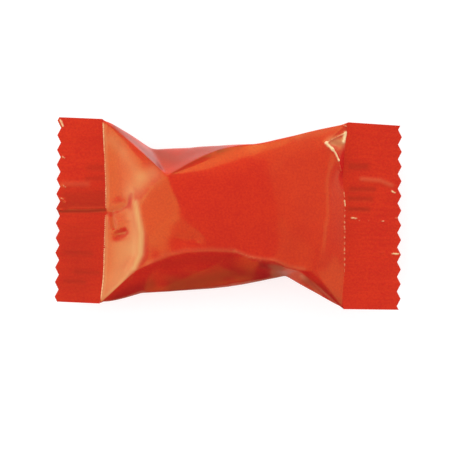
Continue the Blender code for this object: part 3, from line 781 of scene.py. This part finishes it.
    # the lower side and the edges, closed with the upper side
    lower = tree.nodes.new("GeometryNodeExtrudeMesh")
    lower.inputs["Individual"].default_value = False
    down = tree.nodes.new("ShaderNodeCombineXYZ")
    down.inputs["Z"].default_value = -1.0
    tree.links.new(move.outputs[0], lower.inputs["Mesh"])
    tree.links.new(down.outputs[0], lower.inputs["Offset"])
    tree.links.new(thickness.outputs[0], lower.inputs["Offset Scale"])
    flip = tree.nodes.new("GeometryNodeFlipFaces")
    tree.links.new(lower.outputs["Mesh"], flip.inputs["Mesh"])
    both = tree.nodes.new("GeometryNodeJoinGeometry")
    tree.links.new(move.outputs[0], both.inputs[0])
    tree.links.new(flip.outputs[0], both.inputs[0])
    weld = tree.nodes.new("GeometryNodeMergeByDistance")
    weld.inputs["Distance"].default_value = CRIMP_WELD
    tree.links.new(both.outputs[0], weld.inputs["Geometry"])
    real = tree.nodes.new("GeometryNodeRealizeInstances")
    dress = tree.nodes.new("GeometryNodeSetMaterial")
    tree.links.new(weld.outputs[0], real.inputs[0])
    tree.links.new(real.outputs[0], dress.inputs["Geometry"])
    tree.links.new(given["Film"], dress.inputs["Material"])
    tree.links.new(dress.outputs[0], tree.nodes.new("NodeGroupOutput").inputs["Geometry"])
    return tree


crimped_film = film_material("crimped_film", gloss=0.24, streak_share=0.9)
CRIMP_TREE = crimp_tree()


def crimp(name, ears, edge, first_tip):
    """One crimp between the pillow's two ears and its cut edge."""
    values = {
        "Seal Back": Vector(ears[0]) * MM,
        "Seal Front": Vector(ears[1]) * MM,
        "Edge Back": Vector((*edge[0], SEAL_Z)) * MM,
        "Edge Front": Vector((*edge[1], SEAL_Z)) * MM,
        "Tooth Pitch": TOOTH_PITCH * MM,
        "Tooth Depth": TOOTH_DEPTH * MM,
        "First Tip": first_tip * MM,
        "Rib Pitch": RIB_PITCH * MM,
        "Rib Depth": RIB_DEPTH * MM,
        "Rib Drift": RIB_DRIFT * MM,
        "Bite": CRIMP_BITE * MM,
        "Sheet": CRIMP_SHEET * MM,
        "Sag": CRIMP_SAG * MM,
        "Fin Width": FIN_WIDTH * MM,
        "Fin Sheet": FIN_SHEET * MM,
        "Film": crimped_film,
    }
    obj = link_mesh(name, bpy.data.meshes.new(name))
    sheet = obj.modifiers.new("sheet", "NODES")
    sheet.node_group = CRIMP_TREE
    for item in CRIMP_TREE.interface.items_tree:
        if item.in_out == "INPUT":
            sheet[item.identifier] = values[item.name]
    apply_modifiers(obj)
    solid = bmesh.new()
    solid.from_mesh(obj.data)
    bmesh.ops.recalc_face_normals(solid, faces=solid.faces)
    bmesh.ops.translate(solid, verts=solid.verts, vec=(0, 0, CRIMP_SHEET / 2 * MM))
    solid.to_mesh(obj.data)
    solid.free()
    return obj


LEFT_CRIMP_STROKES = [
    # the fold of the fin seal shows through as a step, with painted shade along it, and the fin's free edge
    # behind it, with a faint painted highlight
    (-0.07, 0.20, -0.9, [(-23.0, 0.35), (-18.8, 0.35), (-16.6, 0.5)]),
    (0.05, 0.15, 0.2, [(-21.3, 0.75), (-16.8, 0.8)]),
    (0.05, 0.35, 0.0, [(-22.4, 4.05), (-18.8, 4.0)]),
    # painted shade: darker bands and patches across the crimp
    (-0.03, 0.90, -0.45, [(-21.8, 2.4), (-17.0, 2.5)]),
    (-0.03, 0.40, -0.35, [(-19.0, 4.75), (-17.0, 4.75)]),
    (-0.03, 0.45, -0.35, [(-18.8, 6.2), (-17.0, 6.2)]),
    (0.0, 0.70, -0.5, [(-22.4, 1.1), (-17.0, 1.2)]),
    (-0.02, 0.35, -0.3, [(-22.0, -5.1), (-18.5, -5.3)]),
    (-0.02, 0.35, -0.3, [(-20.5, -7.8), (-17.5, -7.9)]),
    (-0.02, 0.35, -0.3, [(-22.0, -9.0), (-19.5, -9.1)]),
    (0.0, 3.5, -0.35, [(-20.5, -3.5), (-20.5, -9.5)]),
    # film torn up a little between the teeth, with painted glints
    (0.09, 0.14, 1.0, [(-22.6, 12.6), (-22.25, 11.8)]),
    (0.09, 0.13, 0.7, [(-22.35, 7.75), (-22.05, 7.5)]),
    (0.09, 0.13, 0.7, [(-22.2, 3.85), (-21.9, 3.6)]),
    (0.10, 0.14, 1.0, [(-22.55, 2.15), (-22.15, 2.0), (-21.95, 1.6)]),
    (0.09, 0.13, 0.7, [(-22.5, 0.6), (-22.25, 0.5)]),
]
RIGHT_CRIMP_STROKES = [
    # painted shade in darker bands across the crimp, then the orange streak and small raised bits with
    # painted glints
    (-0.03, 0.50, -0.55, [(16.4, 6.35), (18.4, 6.35)]),
    (-0.04, 0.40, -0.55, [(16.4, 3.3), (19.4, 3.3)]),
    (-0.04, 0.40, -0.55, [(16.2, 2.05), (19.0, 2.0)]),
    (-0.04, 0.35, -0.6, [(16.2, 0.65), (18.6, 0.6)]),
    (0.07, 0.35, 0.1, [(17.6, 4.6), (20.3, 4.4), (21.8, 3.75)]),
    (0.08, 0.13, 1.0, [(21.8, 3.1), (22.2, 2.85)]),
    (0.08, 0.14, 0.8, [(16.4, -0.50), (17.1, -0.60)]),
    (0.05, 0.12, 0.5, [(17.4, -0.85), (17.6, -0.9)]),
    (0.05, 0.12, 0.4, [(18.6, -0.9), (18.7, -0.9)]),
    (0.07, 0.12, 0.7, [(20.4, -0.95), (20.7, -0.95)]),
    (0.07, 0.12, 0.5, [(22.3, -0.5), (22.6, -0.6)]),
    (0.07, 0.12, 0.5, [(20.4, -5.2), (20.5, -5.25)]),
    (0.08, 0.13, 1.0, [(21.9, -5.3), (22.7, -5.35)]),
]
left_crimp = crimp(
    "crimp_left", (RIM["ear_back_left"], RIM["ear_front_left"]), EDGE_LEFT, FIRST_TIP_LEFT
)
# painted sheen along the crimp's orange band
relief(left_crimp, LEFT_CRIMP_STROKES, [(0.10, 0.4, None, [(-22.2, 4.05), (-19.0, 4.0)])])
right_crimp = crimp(
    "crimp_right", (RIM["ear_back_right"], RIM["ear_front_right"]), EDGE_RIGHT, FIRST_TIP_RIGHT
)
# painted sheen along the crimp's orange streak
relief(right_crimp, RIGHT_CRIMP_STROKES, [(0.16, 0.3, None, [(17.8, 4.7), (20.3, 4.5), (21.8, 3.85)])])

# ---------------------------------------------------------------------------------------------
# The fin seal: the lengthwise seam of the film tube, its two layers welded face to face with
# fine cross ribs and folded flat along the back, from one crimp to the other.
# ---------------------------------------------------------------------------------------------
FIN_EMBED = 0.12
FIN_ROWS = 320
FIN_COLUMNS = 12
FIN_RIB_PITCH = 0.7
FIN_RIB_DEPTH = 0.02
FIN_INSET = 0.5
FIN_THINNEST = 0.05


def fin_seal():
    """The folded seam under the pillow, resting on the table, its upper side let into the film."""
    under = BVHTree.FromObject(pillow, bpy.context.evaluated_depsgraph_get())
    left, right = SEAL_LEFT[1][0] + FIN_INSET, SEAL_RIGHT[1][0] - FIN_INSET
    strip = bmesh.new()
    rows = []
    for i in range(FIN_ROWS + 1):
        x = left + i / FIN_ROWS * (right - left)
        outer, inner = [], []
        for j in range(FIN_COLUMNS + 1):
            y = j / FIN_COLUMNS * FIN_WIDTH
            hit = under.ray_cast(Vector((x, y, -5)) * MM, Vector((0, 0, 1)))[0]
            film_z = hit.z / MM
            rib = FIN_RIB_DEPTH * (1 + math.cos(math.tau * x / FIN_RIB_PITCH)) / 2
            low = max(film_z - FIN_SHEET, 0.0) + (rib if 0 < j < FIN_COLUMNS else 0.0)
            outer.append(strip.verts.new(Vector((x, y, low)) * MM))
            high = max(film_z, low + FIN_THINNEST) + FIN_EMBED
            inner.append(strip.verts.new(Vector((x, y, high)) * MM))
        rows.append(outer + inner[::-1])
    for near, far in zip(rows, rows[1:]):
        for k in range(len(near)):
            n = (k + 1) % len(near)
            strip.faces.new((near[k], near[n], far[n], far[k]))
    strip.faces.new(rows[0])
    strip.faces.new(rows[-1][::-1])
    bmesh.ops.recalc_face_normals(strip, faces=strip.faces)
    mesh = bpy.data.meshes.new("fin_seal")
    strip.to_mesh(mesh)
    strip.free()
    mesh.attributes.new("glint_and_shade", "FLOAT", "POINT")
    mesh.attributes.new("sheen_paint", "FLOAT", "POINT")
    return link_mesh("fin_seal", mesh)


fin = fin_seal()

# ---------------------------------------------------------------------------------------------
# The wrapper put together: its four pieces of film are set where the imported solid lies, with the
# middle of their box over the origin, and each gets its finish.
# ---------------------------------------------------------------------------------------------
SHARP_ANGLE = 40
pieces = [pillow, left_crimp, right_crimp, fin]
points = [vert.co for piece in pieces for vert in piece.data.vertices]
middle = [(min(p[k] for p in points) + max(p[k] for p in points)) / 2 for k in range(2)]
for piece, film in zip(pieces, (smooth_film, crimped_film, crimped_film, crimped_film)):
    for vert in piece.data.vertices:
        vert.co -= Vector((*middle, 0.0))
    piece.data.materials.clear()
    piece.data.materials.append(film)
    piece.data.shade_smooth()
    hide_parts("wrapper")
    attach(piece, "root")
for piece in (left_crimp, right_crimp, fin):
    piece.data.set_sharp_from_angle(angle=math.radians(SHARP_ANGLE))

# ---------------------------------------------------------------------------------------------
# The table it lies on, a white sheet lit through from below, and the soft lights round it: panels
# of cloth over lamps, in a room with white walls behind. The camera hangs straight above.
# ---------------------------------------------------------------------------------------------
TABLE_REACH = 1.5
TABLE_GREY = 0.42
TABLE_GLOW = 0.70


def table():
    """The sheet, with so much light from below that hardly a shadow falls on it."""
    mesh = bpy.data.meshes.new("table")
    sheet = bmesh.new()
    bmesh.ops.create_grid(sheet, x_segments=1, y_segments=1, size=TABLE_REACH)
    sheet.to_mesh(mesh)
    sheet.free()
    material = bpy.data.materials.new("white_table")
    material.use_nodes = True
    shader = material.node_tree.nodes["Principled BSDF"]
    shader.inputs["Base Color"].default_value = (TABLE_GREY, TABLE_GREY, TABLE_GREY, 1.0)
    shader.inputs["Roughness"].default_value = 0.9
    shader.inputs["Emission Color"].default_value = (1.0, 1.0, 1.0, 1.0)
    shader.inputs["Emission Strength"].default_value = TABLE_GLOW
    mesh.materials.append(material)
    link_mesh("table", mesh)


# Each panel: azimuth and elevation in degrees, width and height in metres, brightness, colour.
PANEL_DISTANCE = 0.6
WHITE = (1.0, 1.0, 1.0)
AMBER = (1.0, 0.62, 0.2)
PANELS = [
    (30, 9, 0.28, 0.14, 0.7, WHITE),
    (180, 9, 0.28, 0.14, 2.6, WHITE),
    (262, 10, 0.17, 0.11, 1.15, AMBER),
    (330, 9, 0.28, 0.14, 0.3, WHITE),
    (30, 27, 0.28, 0.20, 1.1, WHITE),
    (70, 36, 0.28, 0.20, 1.2, WHITE),
    (187, 26, 0.24, 0.19, 2.4, WHITE),
    (215, 27, 0.28, 0.20, 0.5, WHITE),
    (330, 27, 0.28, 0.20, 0.3, WHITE),
    (0, 26, 0.28, 0.16, 0.8, WHITE),
    (0, 48, 0.30, 0.25, 0.2, WHITE),
    (45, 48, 0.35, 0.25, 0.4, WHITE),
    (95, 43, 0.35, 0.22, 1.4, WHITE),
    (135, 48, 0.35, 0.25, 0.3, WHITE),
    (182, 48, 0.35, 0.25, 1.4, WHITE),
    (225, 48, 0.35, 0.25, 0.6, WHITE),
    (270, 48, 0.35, 0.25, 0.5, WHITE),
    (315, 48, 0.35, 0.25, 0.4, WHITE),
    (90, 72, 0.30, 0.20, 0.1, WHITE),
]


def soft_panel(azimuth, elevation, width, height, brightness, colour):
    """One soft light that faces the sweet from its place round the table."""
    name = f"panel_{azimuth}_{elevation}"
    light = bpy.data.lights.new(name, "AREA")
    light.shape = "RECTANGLE"
    light.size = width
    light.size_y = height
    light.energy = math.pi * width * height * brightness
    light.color = colour
    obj = bpy.data.objects.new(name, light)
    bpy.context.scene.collection.objects.link(obj)
    around, up = math.radians(azimuth), math.radians(elevation)
    aim = Vector((math.cos(around) * math.cos(up), math.sin(around) * math.cos(up), math.sin(up)))
    obj.location = aim * PANEL_DISTANCE
    obj.rotation_euler = (-aim).to_track_quat("-Z", "Y").to_euler()


table()
for panel in PANELS:
    soft_panel(*panel)

WALL_GLOW = 1.7
ROOM_GLOW = 0.1
CEILING_GLOW = 0.6
WALL_TURN = 0.9
SIDE_SHARE = 0.5


def studio_world():
    """White walls behind and beside the table, a dim ceiling and a dark room in front."""
    world = bpy.data.worlds.new("studio")
    world.use_nodes = True
    tree = world.node_tree
    way = tree.nodes.new("ShaderNodeTexCoord")
    axes = tree.nodes.new("ShaderNodeSeparateXYZ")
    tree.links.new(way.outputs["Generated"], axes.inputs[0])
    up = step(tree, "MAXIMUM", axes.outputs["Z"], 0.0)
    lit = step(tree, "MULTIPLY_ADD", axes.outputs["Y"], WALL_TURN, SIDE_SHARE)
    lit = step(tree, "MINIMUM", step(tree, "MAXIMUM", lit, 0.0), 1.0)
    walls = step(tree, "MULTIPLY_ADD", lit, WALL_GLOW - ROOM_GLOW, ROOM_GLOW)
    walls = step(tree, "MULTIPLY", walls, step(tree, "SUBTRACT", 1.0, up))
    glow = step(tree, "MULTIPLY_ADD", up, CEILING_GLOW, walls)
    background = tree.nodes["Background"]
    tree.links.new(glow, background.inputs["Strength"])
    background.inputs["Color"].default_value = (1.0, 1.0, 1.0, 1.0)
    return world


bpy.context.scene.world = studio_world()
bpy.context.scene.view_settings.view_transform = "Standard"

# The middle of the view on the crimps' height, half its width, and the camera's height.
VIEW_X, VIEW_Y = 0.13, -2.14
VIEW_HALF = 30.83
CAMERA_Z = 500.0
camera = bpy.data.cameras.new("camera")
camera.angle = 2 * math.atan(VIEW_HALF / (CAMERA_Z - SEAL_Z))
camera_object = bpy.data.objects.new("camera", camera)
bpy.context.scene.collection.objects.link(camera_object)
camera_object.location = (VIEW_X * MM - middle[0], VIEW_Y * MM - middle[1], CAMERA_Z * MM)
bpy.context.scene.camera = camera_object
